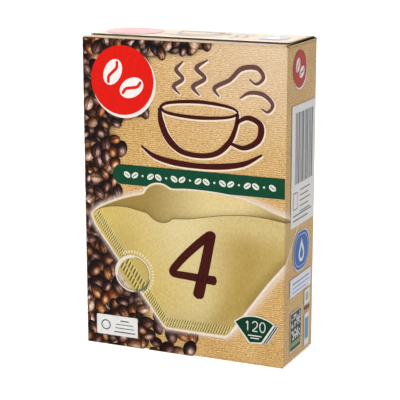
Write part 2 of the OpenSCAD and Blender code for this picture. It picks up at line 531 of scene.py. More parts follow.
# The rim of the back wall and the lip of the front wall, each with a notched thumb tab.
rim_line = smooth_line([
    LEFT_TIP, (7.4, 82.6), (11.7, 85.4), (20.4, 89.3), (29.8, 92.6), (38.4, 95.0), (39.9, 97.2),
    (42.0, 99.4), (45.2, 100.9), (48.6, 101.4), (52.0, 100.8), (54.8, 99.4), (57.5, 98.8), (66, 99.4),
    (76, 99.4), (88, 98.8), (101, 97.0), (110, 94.4), (119, 91.2), (127, 88.6), (133, 86.4), (140, 84.2),
    RIGHT_TIP,
], 330)
lip_line = smooth_line([
    LEFT_TIP, (7.6, 82.2), (11.7, 84.1), (17.5, 85.5), (24.2, 86.0), (29.8, 85.6), (35.4, 84.6),
    (40.4, 83.6), (42.4, 82.4), (44.8, 80.4), (48.4, 79.0), (52.1, 79.0), (55.2, 80.2), (57.6, 81.8),
    (66.6, 82.6), (76, 84.4), (88.7, 86.8), (101, 88.0), (110, 87.9), (119, 87.1), (127, 85.8),
    (133, 84.6), (140, 83.2), RIGHT_TIP,
], 330)
# Round the left tip, down the seam, along the foot and up the right side.
round_tip = smooth_line([LEFT_TIP, (5.5, 77.2), (6.6, 74.4), (8.6, 71.5)], 12)
FOOT_CORNER = len(round_tip)
foot_line = np.vstack([round_tip, [
    (FOOT_LEFT - 1.2, FOOT_HEIGHT + 1.6), (FOOT_LEFT + 1.0, FOOT_HEIGHT),
    (FOOT_RIGHT - 1.0, FOOT_HEIGHT), (FOOT_RIGHT + 1.2, FOOT_HEIGHT + 1.6),
    (115.6, 49.6), (126.0, 62.2), (136.0, 71.4), (143.2, 78.6), RIGHT_TIP,
]])
across_filter = np.unique(np.concatenate([
    LEFT_TIP[0] + 2.5 * np.linspace(0.02, 1, 8) ** 2, between(LEFT_TIP[0] + 3, RIGHT_TIP[0] - 0.5, 1.5),
    foot_line[FOOT_CORNER:-1, 0], [RIGHT_TIP[0] - 0.5],
    plan_along[(plan_along > FRONT - BEND) & (plan_along < FRONT + BEND)],
]).round(4))
rim_height = np.interp(across_filter, *rim_line.T)
lip_height = np.minimum(np.interp(across_filter, *lip_line.T), rim_height)
foot_height = np.minimum(np.interp(across_filter, *foot_line.T), lip_height)

# Unbleached filter paper in the print: yellowish tan on the left, palest below the lip's notch,
# and darker where the cone turns away towards its right edge. Past the front right crease it is
# browner, as painted shade on the side panel.
PAPER_ROWS = 30
INSIDE_ROWS = 12
front_wall = curtain(across_filter, foot_height, lip_height, PAPER_ROWS)
s, z = front_wall[0].T
past_fold = s - (44 + 0.5 * (82 - z))
valley = np.exp(-((s - 101 - 0.4 * (z - 45) + 0.012 * (z - 45) ** 2) / 9) ** 2)
edge_right = np.interp(z, foot_line[FOOT_CORNER + 3:, 1], foot_line[FOOT_CORNER + 3:, 0]) - s
paper = toned(tones("#D3B96C", "#D9C48A", ease(past_fold, -26, 6)), (
    ("#C2A96A", 0.8 * np.exp(-((s - 24) / 10) ** 2 - ((z - 62) / 12) ** 2)),
    ("#E2CE9A", 0.8 * ease(past_fold, -2, 12) * (1 - ease(s, 66, 88)) * ease(z, 44, 76)),
    ("#CDB784", 0.75 * ease(36 - z, 0, 18)),
    ("#C2A664", ease(s, 74, 98) * (1 - 0.7 * ease(z, 66, 82))),
    ("#B0954F", 0.7 * valley * (1 - ease(z, 66, 82))),
    ("#9A8244", 0.75 * ease(9 - edge_right, 0, 8) * ease(z, 24, 40) * (1 - ease(z, 60, 74))),
    # Browner past the front right crease: painted shade on the side panel.
    ("#C9A562", 0.8 * ease(s, FRONT - 1, FRONT + 2)),
))
# The inside of the back wall, with the lip's shadow on it.
inside = curtain(across_filter, lip_height, rim_height, INSIDE_ROWS)
s, z = inside[0].T
lip_shadow = np.exp(-(z - np.tile(lip_height, INSIDE_ROWS)) / 1.8)
hollow = toned(tones("#A0864A", "#E2CC92", ease(s, 36, 84)), (
    ("#B9A06A", 0.8 * ease(s, 100, 122)),
    ("#7A6332", 0.6 * lip_shadow * (1 - 0.6 * ease(s, 60, 110))),
    ("#6E4A26", 0.95 * lip_shadow * ease(s, 88, 124)),
))


def mottled_ink(tree, pitch, least, most, detail, grit=0.5, stretch=(1, 1, 1)):
    """The ink of each point, times a noise of the given pitch in millimetres that goes from least to
    most. Gives the noise and the ink."""
    place = node(tree, "Mapping", {0: node(tree, "TexCoord").outputs["Object"], 3: stretch})
    noise = node(tree, "TexNoise", {"Vector": place, "Scale": 1 / (pitch * MM), "Detail": detail,
                                    "Roughness": grit})
    strength = node(tree, "MapRange", {0: noise, 1: 0.3, 2: 0.7, 3: least, 4: most})
    plain = node(tree, "Attribute", attribute_name="ink")
    return noise, node(tree, "VectorMath", {0: plain, "Scale": strength}, operation="SCALE")


# Crepe of the pictured paper: real fibres are finer, so they are drawn about 1.1 mm apart and
# longer across the paper machine's direction.
paper_material, tree = new_material("printed_filter_paper")
paper_ink = mottled_ink(tree, 1.1, 0.86, 1.12, 3.0, 0.7, (1, 1, 0.6))[1]
varnish(tree, paper_ink, PRINT_ROUGHNESS)

# The pale outline runs along the rim from the left, and back along the seams. Its widths are at even
# steps of that way: it is narrow at the right tip and broad up the right side.
OUTLINE_WIDTHS = [1.6] * 10 + [1.2, 1.2, 3.2, 3.2, 3.8, 3.4, 2.4] + [1.6] * 4
lower_edge = np.stack([across_filter, foot_height], 1)
upper_edge = np.stack([across_filter, rim_height], 1)
filter_outline = np.vstack([upper_edge, lower_edge[::-1], upper_edge[:1]])
print_shapes("print_filter_picture", [
    (*brush(filter_outline, OUTLINE_WIDTHS), "#EFDFD0", 3),
    (*front_wall, paper, 4),
    (*inside, hollow, 4),
], paper_material)


def edge_marks(start, end, inset, length, pitch, shift):
    """The marks of one row of crimps, one quad each, evenly apart along an edge of the filter. They
    all lean a little to the right, and their feet are on a line at the inset from the edge."""
    start, end = np.array(start, float), np.array(end, float)
    forward = (end - start) / np.hypot(*(end - start))
    inward = np.array([-forward[1], forward[0]])
    at = np.arange(pitch, np.hypot(*(end - start)) - pitch, pitch)[:, None]
    foot = start + forward * at + inward * inset + (shift, 0)
    head = foot + LEANING * length
    half = np.array([CRIMP_WIDTH / 2, 0])
    corners = np.stack([foot - half, foot + half, head + half, head - half], 1)
    return corners.reshape(-1, 2), [np.arange(4 * len(at)).reshape(-1, 4)]


# Offset inks under the same varnish. A faint mottle about 2.5 mm apart, as ink takes on coated board,
# keeps them and their gloss from being quite even.
ink_material, tree = new_material("offset_ink")
mottle, even_ink = mottled_ink(tree, 2.5, 0.93, 1.05, 4.0)
varnish(tree, even_ink, node(tree, "MapRange", {0: mottle, 1: 0.3, 2: 0.7, 3: 0.3, 4: 0.4}), 0.003)

# Each crimp is a dark mark with a light one beside it, in two rows along the seam and two along the
# foot. A thin shadow and a thin light follow the lip and the rim, short of the tips.
SEAM_PITCH = 1.5
FOOT_PITCH = 1.65
seam_start, seam_end = np.array(LEFT_TIP) + (0.5, -1.5), foot_line[FOOT_CORNER]
foot_start, foot_end = foot_line[FOOT_CORNER + 1:FOOT_CORNER + 3]
seams = []
for shift, ink, layer in ((0.6, "#E2D28E", 5), (0.0, "#6E5F2E", 6)):
    for row in (
        (seam_start, seam_end + (0.8, -1.0), 0.5, 2.3, SEAM_PITCH),
        (seam_start + (0.5, 1.0), seam_end, 2.2, 2.9, SEAM_PITCH),
        (foot_start - (1.7, 0), foot_end + (1.0, 0), 0.7, 2.7, FOOT_PITCH),
        (foot_start - (2.2, 0), foot_end + (4.4, 0), 3.5, 2.9, FOOT_PITCH),
    ):
        seams.append((*edge_marks(*row, shift), ink, layer))
for heights, ink in ((lip_height, "#7C6A30"), (rim_height - 0.3, "#DCCB92")):
    seams.append((*brush(np.stack([across_filter, heights], 1)[4:-3], 0.4), ink, 6))
print_shapes("print_filter_seams", seams, ink_material)


# The print's lens: it is drawn over the left seam and shows the crimps enlarged. It has a thin
# glassy ring, rows of long marks, the glow and two dark blots beside the seam, and short ticks round
# its upper right.
LENS_CENTRE = np.array([31.0, 46.1])
LENS_SIZE = (22.4, 21.6)
MARKS_IN_ROW = 8
MARK_HALF = 2.1
TICK_START, TICK_END = 12.4, 14.2
RING_STEP = 6.0


def turned(points, degrees):
    """Points turned anticlockwise about nought."""
    cosine, sine = math.cos(math.radians(degrees)), math.sin(math.radians(degrees))
    return np.asarray(points, float) @ ((cosine, sine), (-sine, cosine))


def oval(s, z, wide, high, count, turn=0.0):
    """The outline of an ellipse with count points, turned by an angle in degrees."""
    round_places = circle(np.linspace(0, 2 * math.pi, count, endpoint=False))
    return (s, z) + turned(round_places * (wide / 2, high / 2), turn)


def spot(outline):
    """Fills an outline that is drawn anticlockwise: rings from the outline in to its middle, no
    further apart than the ring step, so that they follow the swelling board."""
    outline = np.asarray(outline, float)
    middle = outline.mean(0)
    rings = 1 + math.ceil(np.hypot(*(outline - middle).T).max() / RING_STEP)
    share = np.linspace(1, 0, rings + 1)[:-1, None, None]
    places = middle + share * (outline - middle)
    count = len(outline)
    at = np.arange(rings * count).reshape(rings, count)
    beside = np.roll(at, -1, 1)
    quads = np.stack([at[:-1], beside[:-1], beside[1:], at[1:]], -1).reshape(-1, 4)
    fan = np.stack([at[-1], beside[-1], np.full(count, rings * count)], -1)
    return np.vstack([places.reshape(-1, 2), middle]), [quads, fan]


lens_edge = oval(*LENS_CENTRE, *LENS_SIZE, 72)
seam_in_lens = np.array([(21.6, 47.6), (30.6, 34.8)])
seam_way = (seam_in_lens[1] - seam_in_lens[0]) / np.hypot(*(seam_in_lens[1] - seam_in_lens[0]))
outward = np.array([seam_way[1], -seam_way[0]])
beyond = np.clip((lens_edge - seam_in_lens[0]) @ outward, 0, None)
lens = [
    (*spot(lens_edge), "#CBB7A6", 6),
    (*spot(lens_edge - beyond[:, None] * outward), "#C4AE64", 7),
    (*brush(seam_in_lens + seam_way * ((-0.4,), (0.4,)), 1.6), "#EBDCCD", 8),
]
for row_start, row_end in (((24.2, 50.4), (34.0, 37.6)), ((27.6, 53.0), (37.8, 40.0))):
    for middle in np.linspace(row_start, row_end, MARKS_IN_ROW):
        mark = np.linspace(middle + MARK_HALF * LEANING, middle - MARK_HALF * LEANING, 12)
        lens.append((*brush(mark + (0.75, 0), 0.9, 0.5), "#E0D08C", 8))
        lens.append((*brush(mark, 1.0, 0.5), "#756226", 9))
# The ring, its dark inner line, its shadows at the lower left and right, and the gloss at the
# upper left.
ring = np.vstack([lens_edge, lens_edge[:2]])
inner_ring = LENS_CENTRE + 0.93 * (ring - LENS_CENTRE)
for line, width, ink, layer in (
    (ring, 0.8, "#E6DCC8", 10), (inner_ring, 0.5, "#A08C58", 9),
    (inner_ring[36:56], [0.3, 0.6, 0.3], "#8E7F78", 10), (ring[54:71], [0.3, 1.5, 0.3], "#6F7563", 11),
    (inner_ring[16:40], [0.3, 1.4, 2.4, 2.0, 0.3], "#E9DCD0", 11),
):
    lens.append((*brush(line, width), ink, layer))
for aside, long in ((-6.9, 1.6), (-5.6, 1.1)):
    blot = LENS_CENTRE + (aside, 0.86 * aside) + np.linspace(-long, long, 12)[:, None] * seam_way
    lens.append((*brush(blot, [0.3, 0.9, 0.3]), "#93786E", 8))
for spoke in circle(np.radians(np.arange(-60, 122, 8.0))):
    tick = LENS_CENTRE + spoke * np.linspace(TICK_START, TICK_END, 8)[:, None]
    lens.append((*brush(tick, 0.9, 0.5), "#EBE0BC", 7))
print_shapes("print_lens", lens, ink_material)


# The print's coffee beans: a heap along the left side that thins out to single beans along the
# top and the foot, over the crease onto the left side panel. Each bean is shaded as a photographed
# one: a glossy dome, dark at its rim, and about half of them show the cleft of their flat side.
BEAN_LENGTH = 9.2
BEAN_WIDTH = 6.7
BEAN_LIFT = 0.03
BEAN_LAYER = 0.012
BEAN_SEED = 11
BEAN_APART = 5.0
LOWER_APART = 4.0
LOWER_SHADE = 0.6
EDGE_MARGIN = 3.0
# How far the heap reaches to the right, by height.
EDGE_HEIGHTS, EDGE_REACH = np.array([
    (-6, 70), (6, 71), (11, 74), (14, 74), (18, 66), (22, 52), (40, 38), (60, 25), (76, 16), (82, 17),
    (90, 22), (96, 27), (101, 23), (106, 20), (112, 24), (118, 28), (124, 27), (130, 23), (137, 25),
    (140, 36), (143, 44), (172, 45), (176, 49), (178, 60), (180, 85), (192, 86),
]).T
random = np.random.default_rng(BEAN_SEED)


def growth(z):
    """How much larger the beans are at a height: a twelfth larger at the foot than at the top."""
    return 1.08 - 0.08 * ease(z, 10, 120)


def looseness(s, z):
    """How loosely the beans lie: 0 in the heap, 1 at the foot under the filter, where they lie apart."""
    return ease(s, 36, 46) * (1 - ease(z, 22, 34))


def within_heap(s, z):
    """How far inside the heap's right edge a place is."""
    return np.interp(z, EDGE_HEIGHTS, EDGE_REACH) - s


def scatter(apart, tries):
    """Random places in the heap, none nearer to another than apart times the beans' growth there, and
    an eighth more where they lie loosely. The heap's left edge is two sine waves up the side panel."""
    kept = np.empty((0, 2))
    for s, z in random.uniform((-16, -4), (90, TALL + 5), (tries, 2)):
        left_edge = -9 - 3 * math.sin(z / 9) - 2 * math.sin(z / 3.7)
        if s <= left_edge or within_heap(s, z) <= EDGE_MARGIN:
            continue
        clear = apart * growth(z) * (1 + 0.12 * looseness(s, z))
        if (np.hypot(*(kept - (s, z)).T) > clear).all():
            kept = np.vstack([kept, (s, z)])
    return kept


# A lower layer in the shade, and the beans that lie on it. The lower layer is kept back from the
# heap's edge, by 14 mm at the foot and 8 mm higher up, and from the loose beans.
under, over = scatter(LOWER_APART, 6000), scatter(BEAN_APART, 9000)
under = under[within_heap(*under.T) > 14 - 6 * ease(under[:, 1], 60, 90)]
under = under[looseness(*under.T) < 0.3]
bean_s, bean_z = np.vstack([under, over]).T
count = len(bean_s)
shade = np.where(np.arange(count) < len(under), LOWER_SHADE, 0.0)
turn = random.uniform(0, 2 * math.pi, count)
size = random.uniform(0.8, 1.14, count) * growth(bean_z)
plump = random.uniform(0.86, 1.1, count)
roast = random.uniform(0, 1, count)
cleft = random.uniform(0, 1, count) < 0.55
glint = random.uniform(0.2, 1.5, count)
lamp_turn = random.normal(0, 0.45, count)
# Each bean takes the lowest layer of ink that no bean which could touch it has.
beside = np.hypot(bean_s[:, None] - bean_s, bean_z[:, None] - bean_z) < BEAN_LENGTH * 1.2
level = np.full(count, -1)
for bean in range(count):
    taken = set(level[beside[bean] & (level >= 0)].tolist())
    level[bean] = min(set(range(len(taken) + 1)) - taken)

# A bean is an ellipse on a grid: lengthways are the sines of even angles, and crossways are shares
# of each chord, with more lines near the cleft, which bows as a sine wave does. A value of each
# bean is spread over its grid by the index each.
lengthways = np.sin(np.linspace(-1.43, 1.43, 11))[None, :, None]
share = np.array([-1, -0.84, -0.5, -0.17, 0, 0.17, 0.5, 0.84, 1])[None, None, :]
bow = 0.16 * np.sin(math.pi * lengthways) * (1 - np.abs(share))
crossways = (share + bow) * np.sqrt(1 - lengthways ** 2)
lengthways = lengthways + 0 * share
each = (slice(None), None, None)
cosine, sine = np.cos(turn)[each], np.sin(turn)[each]
long_way = lengthways * (BEAN_LENGTH / 2 * size)[each]
wide_way = crossways * (BEAN_WIDTH / 2 * size * plump)[each]
bean_places = np.stack([bean_s[each] + cosine * long_way - sine * wide_way,
                        bean_z[each] + sine * long_way + cosine * wide_way], -1).reshape(-1, 2)
# The light on a dome: its slopes, turned to the sheet's, times the way to a lamp low on the right.
# The dome is nearly as steep at its rim as a ball, and less steep lengthways. The gloss is a high
# power of the same with the way halfway between the lamp and the eye.
LAMP_ANGLE = -0.9
LAMP_ASIDE, LAMP_UP = 0.74, 0.67
GLOSS_POWER = 28
radius = np.sqrt(np.clip(lengthways ** 2 + crossways ** 2, 0, 1))
dome = np.sqrt(1 - 0.96 * radius ** 2)
slope_s = 0.98 * (0.9 * cosine * lengthways - sine * crossways)
slope_z = 0.98 * (0.9 * sine * lengthways + cosine * crossways)
lamp_angle = LAMP_ANGLE + lamp_turn[each]
facing_lamp = LAMP_ASIDE * (slope_s * np.cos(lamp_angle) + slope_z * np.sin(lamp_angle))
lit = np.clip(facing_lamp + dome * LAMP_UP, 0, 1)
facing_halfway = (facing_lamp + dome * (LAMP_UP + 1)) / math.hypot(LAMP_ASIDE, LAMP_UP + 1)
gloss = np.clip(facing_halfway, 0, 1) ** GLOSS_POWER
groove = np.exp(-((share / 0.1) ** 2)) * cleft[each]
lips = np.exp(-(((np.abs(share) - 0.34) / 0.17) ** 2)) * cleft[each]
# Four roasts, each from its darkest tone to its gloss: nearly black with pinkish lights, brown, red
# brown with orange lights, and tan.
roasts = np.array([[printed(ink) for ink in inks] for inks in (
    ("#160A07", "#3A1A10", "#88594A", "#EACFC2"),
    ("#190B07", "#4C230F", "#9A6239", "#F2CBA8"),
    ("#24100A", "#6C3218", "#BE763E", "#F8D3A2"),
    ("#38211A", "#8C6048", "#DCB294", "#FAECDE"),
)])
ROAST_SHARES = (0.43, 0.66, 0.84)
kinds = roasts[np.searchsorted(ROAST_SHARES, roast)][:, None, None]
dark, middle, light, bright = (kinds[..., tone, :] for tone in range(4))
skin = toned(tones(dark, middle, ease(lit, 0.1, 0.72)), (
    (light, ease(lit, 0.66, 1.0) * (0.3 + 0.7 * glint[each])),
    (light, 0.6 * lips * lit),
    (dark, 0.85 * groove),
    (dark, 0.85 * ease(radius, 0.74, 0.98) * (1 - 0.5 * ease(lit, 0.6, 0.9))),
    (bright, gloss * glint[each] * (1 - groove)),
    ("#170B07", shade[each]),
))
bean_grid = lengthways.shape[1:]
bean_points = bean_grid[0] * bean_grid[1]
bean_faces = (np.arange(count)[:, None, None] * bean_points + grid_faces(*bean_grid)).reshape(-1, 4)
lift = np.repeat(BEAN_LIFT + BEAN_LAYER * level, bean_points)
# No bean goes past the foot or the upper crease of the panels.
held_in = np.clip(bean_places[:, 1], 0.3, TALL - 1.4)
# The roast's mottle is oil and dull skin in patches of about 1.6 mm.
bean_material, tree = new_material("printed_coffee_beans")
roasted = mottled_ink(tree, 1.6, 0.5, 1.6, 5.0, 0.65)[1]
glow_and_sheen = node(tree, "Attribute", attribute_name="glow_and_sheen").outputs[2]
glowing = node(tree, "Mix", {0: glow_and_sheen, 6: roasted, 7: printed("#EBD8CA")}, data_type="RGBA")
varnish(tree, glowing.outputs[2], 0.34)

# The filter's glow lies over the beans and the cloth. Past the near places it is nought.
GLOW_SHARE = 0.8
glow_line = np.vstack([upper_edge, lower_edge])


def glow_at(places):
    """How much of the pale glow covers the print: most at the filter's outline, and fading over 2 to
    4 mm as a bell curve of the distance does. It is widest along the lower part of the right side."""
    near = (places[:, 0] > -5) & (places[:, 0] < 145) & (places[:, 1] > 5) & (places[:, 1] < 112)
    apart = np.sqrt(((places[near][:, None] - glow_line[None]) ** 2).sum(-1)).min(1)
    s, z = places[near].T
    spread = 2.0 + 0.8 * ease(s, 80, 115) * ease(z, 70, 90) + 1.8 * ease(s, 88, 100) * (1 - ease(z, 55, 66))
    glow = np.zeros(len(places))
    glow[near] = GLOW_SHARE * np.exp(-(apart / spread) ** 2)
    return glow


build("print_coffee_beans", on_sleeve(bean_places[:, 0], held_in, lift), [bean_faces], bean_material,
      on_points={"ink": skin.reshape(-1, 4), "glow_and_sheen": glow_at(bean_places)})

# The board under the heap is printed in its shadow: deep where beans lie close, and faint round the
# heap's edge. A painted sheen also pales the cloth towards the upper right of the front panel.
SHADOW_REACH = 4.2
s, z = board_places.T
close = np.exp(-((s[:, None] - bean_s) ** 2 + (z[:, None] - bean_z) ** 2) / SHADOW_REACH ** 2).sum(1)
deep = ease(within_heap(s, z), 4, 15)
deep = (deep + (1 - deep) * ease(z, 50, 80)) * (1 - looseness(s, z))
shadow = 0.97 * deep * ease(close, 0.6, 1.4) + 0.22 * ease(close, 0.2, 0.9) * (1 - ease(close, 0.6, 1.4))
painted_sheen = 0.38 * ease(s, 20, 126) * ease(z, 100, 185) * (s < FRONT)
inner_face = np.zeros(len(board_places))
for value, outer_face in (("heap", shadow), ("glow_and_sheen", np.maximum(glow_at(board_places), painted_sheen))):
    put_values(carton.data, value, "POINT", np.concatenate([outer_face, inner_face]))


# The red emblem at the top left: a plain disc with a pale edge showing below it, and two white
# beans. A smaller one is on the right side panel.
def emblem(s, z, radius, red):
    """A red disc over a pale one that is set down to the right, and two white beans with red clefts."""
    pale_disc = oval(s + 0.05 * radius, z - 0.07 * radius, 2.04 * radius, 2.04 * radius, 72)
    shapes = [
        (*spot(pale_disc), "#F4E6DE", 3),
        (*spot(oval(s, z, 2 * radius, 2 * radius, 72)), red, 4),
    ]
    bend = np.array([(-0.36, -0.03), (-0.18, 0.05), (0, 0), (0.18, -0.05), (0.36, 0.03)]) * radius
    for across, up, tilt in ((-0.3, 0.22, 62), (0.3, -0.2, 28)):
        x, y = s + across * radius, z + up * radius
        shapes.append((*spot(oval(x, y, 0.8 * radius, 0.54 * radius, 40, tilt)), "#F6EDE8", 5))
        shapes.append((*brush(smooth_line((x, y) + turned(bend, tilt), 40), 0.09 * radius), red, 6))
    return shapes


print_shapes("print_red_emblem", emblem(25.4, 160.0, 20.0, "#E0200F"), ink_material)


# The brush drawing above the band: a cup on its saucer with curls of steam, in dark brown with a
# pale edge that shows below and to the right of every stroke.
BROWN = "#451B18"
STEAM = "#6A4844"
cup = []
for ink, points, widths, steps in (
    # The bowl, the rim, the handle and the saucer.
    (BROWN, [(49, 146), (50, 138), (54, 129), (62, 122), (73, 120), (84, 122), (92, 129), (96, 138),
             (97, 146)], [2.0, 3.8, 4.2, 3.0, 3.0, 3.4, 2.6, 2.0], 90),
    (BROWN, [(49, 146), (55, 149), (73, 150.6), (91, 149), (97, 146), (91, 143), (73, 141.6), (55, 143),
             (49, 146)], [1.6, 2.2, 1.2, 2.2, 1.6], 120),
    (BROWN, [(95.5, 140), (103, 143.5), (110.5, 140), (109.5, 131.5), (101, 126.5), (92.5, 128.5)],
     [2.0, 3.0, 3.8, 3.0, 1.8], 90),
    (BROWN, [(37, 123), (46, 117.5), (58, 114.9), (73, 114), (88, 114.9), (101, 117.5), (112, 123.5)],
     [1.2, 3.0, 3.6, 3.2, 3.6, 3.0, 1.2], 90),
    # The curls of steam.
    (STEAM, [(62, 154), (58, 158.5), (63.5, 163), (59.5, 168), (64, 173)], [0.8, 2.6, 2.2, 2.6, 0.8], 90),
    (STEAM, [(74, 154), (70, 159), (77, 164), (72, 169.5), (79, 174.5)], [0.8, 2.8, 2.4, 2.8, 0.8], 90),
    (STEAM, [(86, 154), (83, 159), (92, 164), (99, 170.5), (108, 171.5), (112, 166.5), (108, 162.6),
             (103.6, 165)], [0.8, 2.6, 2.4, 2.8, 2.8, 2.2, 1.6, 0.8], 90),
    (STEAM, [(98, 154), (104, 157.5), (112, 157), (117.5, 152), (115, 147.6), (111, 149)],
     [0.8, 2.2, 2.6, 2.2, 1.6, 0.8], 90),
):
    line = smooth_line(points, steps)
    cup.append((*brush(line + (0.55, -0.55), np.array(widths) + 0.9), "#F2DFC6", 3))
    cup.append((*brush(line, widths), ink, 4))
print_shapes("print_cup_drawing", cup, ink_material)


# The green band: a long field with a round left end that runs to the front right crease, with a
# row of small white beans and dots.
BAND_GREEN = "#184A34"
BAND_WHITE = "#E6E6DA"
BAND_MIDDLE = 105.2
BAND_HALF = 5.9
BAND_START = 18.6
band_end = FRONT - 0.4
band_columns = np.concatenate([BAND_START + BAND_HALF * (1 - np.cos(np.linspace(0.05, math.pi / 2, 12))),
                               between(BAND_START + BAND_HALF + 2, band_end, 4), [band_end]])
into_end = (BAND_START + BAND_HALF - band_columns).clip(0) / BAND_HALF
band_half = BAND_HALF * np.sqrt(np.clip(1 - into_end ** 2, 0.01, 1))
band = [(*curtain(band_columns, BAND_MIDDLE - band_half, BAND_MIDDLE + band_half, 4), BAND_GREEN, 0)]
for number, middle in enumerate(np.linspace(28, 118, 19)):
    if number % 3 == 2:
        band.append((*spot(oval(middle, BAND_MIDDLE, 1.3, 1.3, 12)), BAND_WHITE, 1))
        continue
    tilt = 35 if number % 2 else -35
    cleft_line = (middle, BAND_MIDDLE) + turned(np.linspace((-1.7, 0), (1.7, 0), 12), tilt)
    band.append((*spot(oval(middle, BAND_MIDDLE, 4.6, 3.2, 24, tilt)), BAND_WHITE, 1))
    band.append((*brush(cleft_line, 0.5), BAND_GREEN, 2))
print_shapes("print_green_band", band, ink_material)


# The size numeral on the filter: a 4 in two strokes of a broad round brush, first down and across
# to the right, then down.
across_stroke = smooth_line([(81.0, 75.0), (73.6, 69.0), (64.4, 60.2), (58.2, 53.0), (56.8, 50.4),
                             (58.6, 49.1), (65, 48.8), (74, 48.3), (84.8, 47.8)], 140)
down_stroke = smooth_line([(81.5, 77.0), (79.0, 64), (76.0, 50), (72.6, 35.8)], 80)
print_shapes("print_size_numeral", [
    (*brush(across_stroke, [5.4, 5.0, 4.8, 4.6, 4.4, 4.4, 4.6, 4.8, 5.6], 0.6), BROWN, 7),
    (*brush(down_stroke, [6.2, 6.2, 6.6, 7.2], 0.9), BROWN, 7),
], ink_material)


# The small labels on the front: a white one over the beans with a ring and rows of plain grey bars,
# and a green one with a pale edge, the count of filters, two bars, and two stripes beside it.
WHITE = "#E9E7E4"
GREY = "#6A6866"
GREEN = "#103D2A"


def rounded_box(left, right, low, high, radius):
    """The outline of a rectangle with round corners: four quarter circles, with points at most 4 mm
    apart between them, so that it follows the swelling board."""
    quarter = radius * circle(np.linspace(0, math.pi / 2, 6))
    middles = [(right - radius, high - radius), (left + radius, high - radius),
               (left + radius, low + radius), (right - radius, low + radius)]
    arcs = [middle + turned(quarter, 90 * corner) for corner, middle in enumerate(middles)]
    closed = np.vstack([*arcs, arcs[0][:1]])
    along = way_along(closed)
    at = np.unique(np.concatenate([along, between(0, along[-1], 4.0)]).round(5))[:-1]
    return np.stack([np.interp(at, along, values) for values in closed.T], 1)


def level_bar(left, right, low, high):
    """A bar between two places along the sheet and two heights."""
    return curtain(np.array([left, right]), low, high)


RING_PLACE = (12.6, 12.4)
BARS_MIDDLE = 25.0
label = [
    (*spot(rounded_box(6.5, 33.7, 6.3, 18.6, 0.9)), WHITE, 4),
    (*spot(oval(*RING_PLACE, 6.4, 6.4, 30)), GREY, 5),
    (*spot(oval(*RING_PLACE, 4.8, 4.8, 30)), WHITE, 6),
]
for high, length, thick in ((16.0, 5.5, 0.8), (13.7, 11.5, 0.55), (11.4, 12.5, 0.55), (9.1, 14.0, 0.8)):
    bar = level_bar(BARS_MIDDLE - length / 2, BARS_MIDDLE + length / 2, high - thick, high)
    label.append((*bar, GREY, 5))
print_shapes("print_white_label", label, ink_material)

# Each digit's legs, in shares of its width and height. A leg of two points is straight.
DIGIT_LEGS = {
    "1": [[(0.25, 0.75), (0.55, 1.0)], [(0.55, 1.0), (0.55, 0.0)]],
    "2": [[(0.05, 0.78), (0.3, 0.98), (0.7, 0.98), (0.92, 0.75), (0.75, 0.45), (0.05, 0.02)],
          [(0.05, 0.02), (0.95, 0.02)]],
    "0": [0.5 + circle(np.linspace(0, 2 * math.pi, 13))[:, ::-1] * (0.45, 0.5)],
}
DIGIT_PITCH = 4.6
DIGIT_WIDTH = 0.78 * DIGIT_PITCH
DIGIT_HEIGHT = 5.9
corner_fan = np.vstack([
    smooth_line([(120.0, 26.2), (115.6, 28.4), (108.7, 29.8), (101.6, 28.8), (95.8, 25.4)], 40),
    np.linspace((95.8, 25.4), (105.0, 13.9), 12)[1:], np.linspace((105.5, 13.7), (112.2, 14.3), 8),
    np.linspace((112.7, 14.6), (120.0, 26.2), 12)[:-1],
])
badge = [(*spot(corner_fan), GREEN, 9), (*brush(np.vstack([corner_fan, corner_fan[:2]]), 0.7), WHITE, 10)]
for layer, aside in ((7, 2.5), (8, 1.2)):
    stripe = np.linspace((112.2 + aside, 13.6), (120.0 + aside, 26.0), 12)
    badge += [(*brush(stripe, 1.6, 0.3), WHITE, layer - 1), (*brush(stripe, 0.75, 0.3), GREEN, layer)]
for number, digit in enumerate("120"):
    for leg in DIGIT_LEGS[digit]:
        leg = np.array(leg) * (DIGIT_WIDTH, DIGIT_HEIGHT) + (102.0 + number * DIGIT_PITCH, 20.8)
        line = np.linspace(*leg, 20) if len(leg) == 2 else smooth_line(leg, 50)
        badge.append((*brush(line, 0.55), WHITE, 10))
for left, right, low in ((104.2, 112.4, 17.9), (105.6, 111.0, 16.4)):
    badge.append((*level_bar(left, right, low, low + 0.6), WHITE, 10))
print_shapes("print_count_badge", badge, ink_material)


# The right side panel's print: a small emblem, a white panel with upright bars, a frame and rows of
# plain lines, a blue field with a drop, and small panels below. A field is its left and right, behind
# the front right crease, its low and high, its corners' radius, ink and layer.
BLUE = "#2159A8"
fields = [
    (7.2, 44.5, 80.5, 150.0, 1.2, WHITE, 7),
    (10.5, 17.5, 90.5, 100.5, 0.6, GREY, 8), (11.1, 16.9, 91.1, 99.9, 0.4, WHITE, 9),
    (7.8, 42.3, 40.0, 50.7, 0.6, "#E4E6F0", 7),
    (31.7, 40.8, 29.5, 38.5, 0.5, WHITE, 7), (34.0, 38.5, 31.5, 36.5, 0.5, "#A9A49C", 8),
    (32.0, 41.0, 26.0, 28.0, 0.1, "#5A2C4A", 7),
    (32.3, 40.6, 4.0, 24.0, 0.5, WHITE, 7), (33.4, 39.5, 8.0, 21.0, 0.4, "#5E93BC", 8),
    (9.0, 27.2, 7.0, 30.5, 1.0, WHITE, 7), (9.6, 26.6, 7.6, 29.9, 0.8, "#191F22", 8),
    (10.2, 26.0, 9.6, 12.4, 0.1, "#7F9A48", 9),
]
bar_left = 12.8
for number in range(17):
    bar_right = bar_left + 0.45 + 0.38 * ((number * 5) % 4)
    fields.append((bar_left, bar_right, 105.0, 145.6, 0.05, "#4F5560", 8))
    bar_left = bar_right + 0.5 + 0.26 * ((number * 7) % 3)
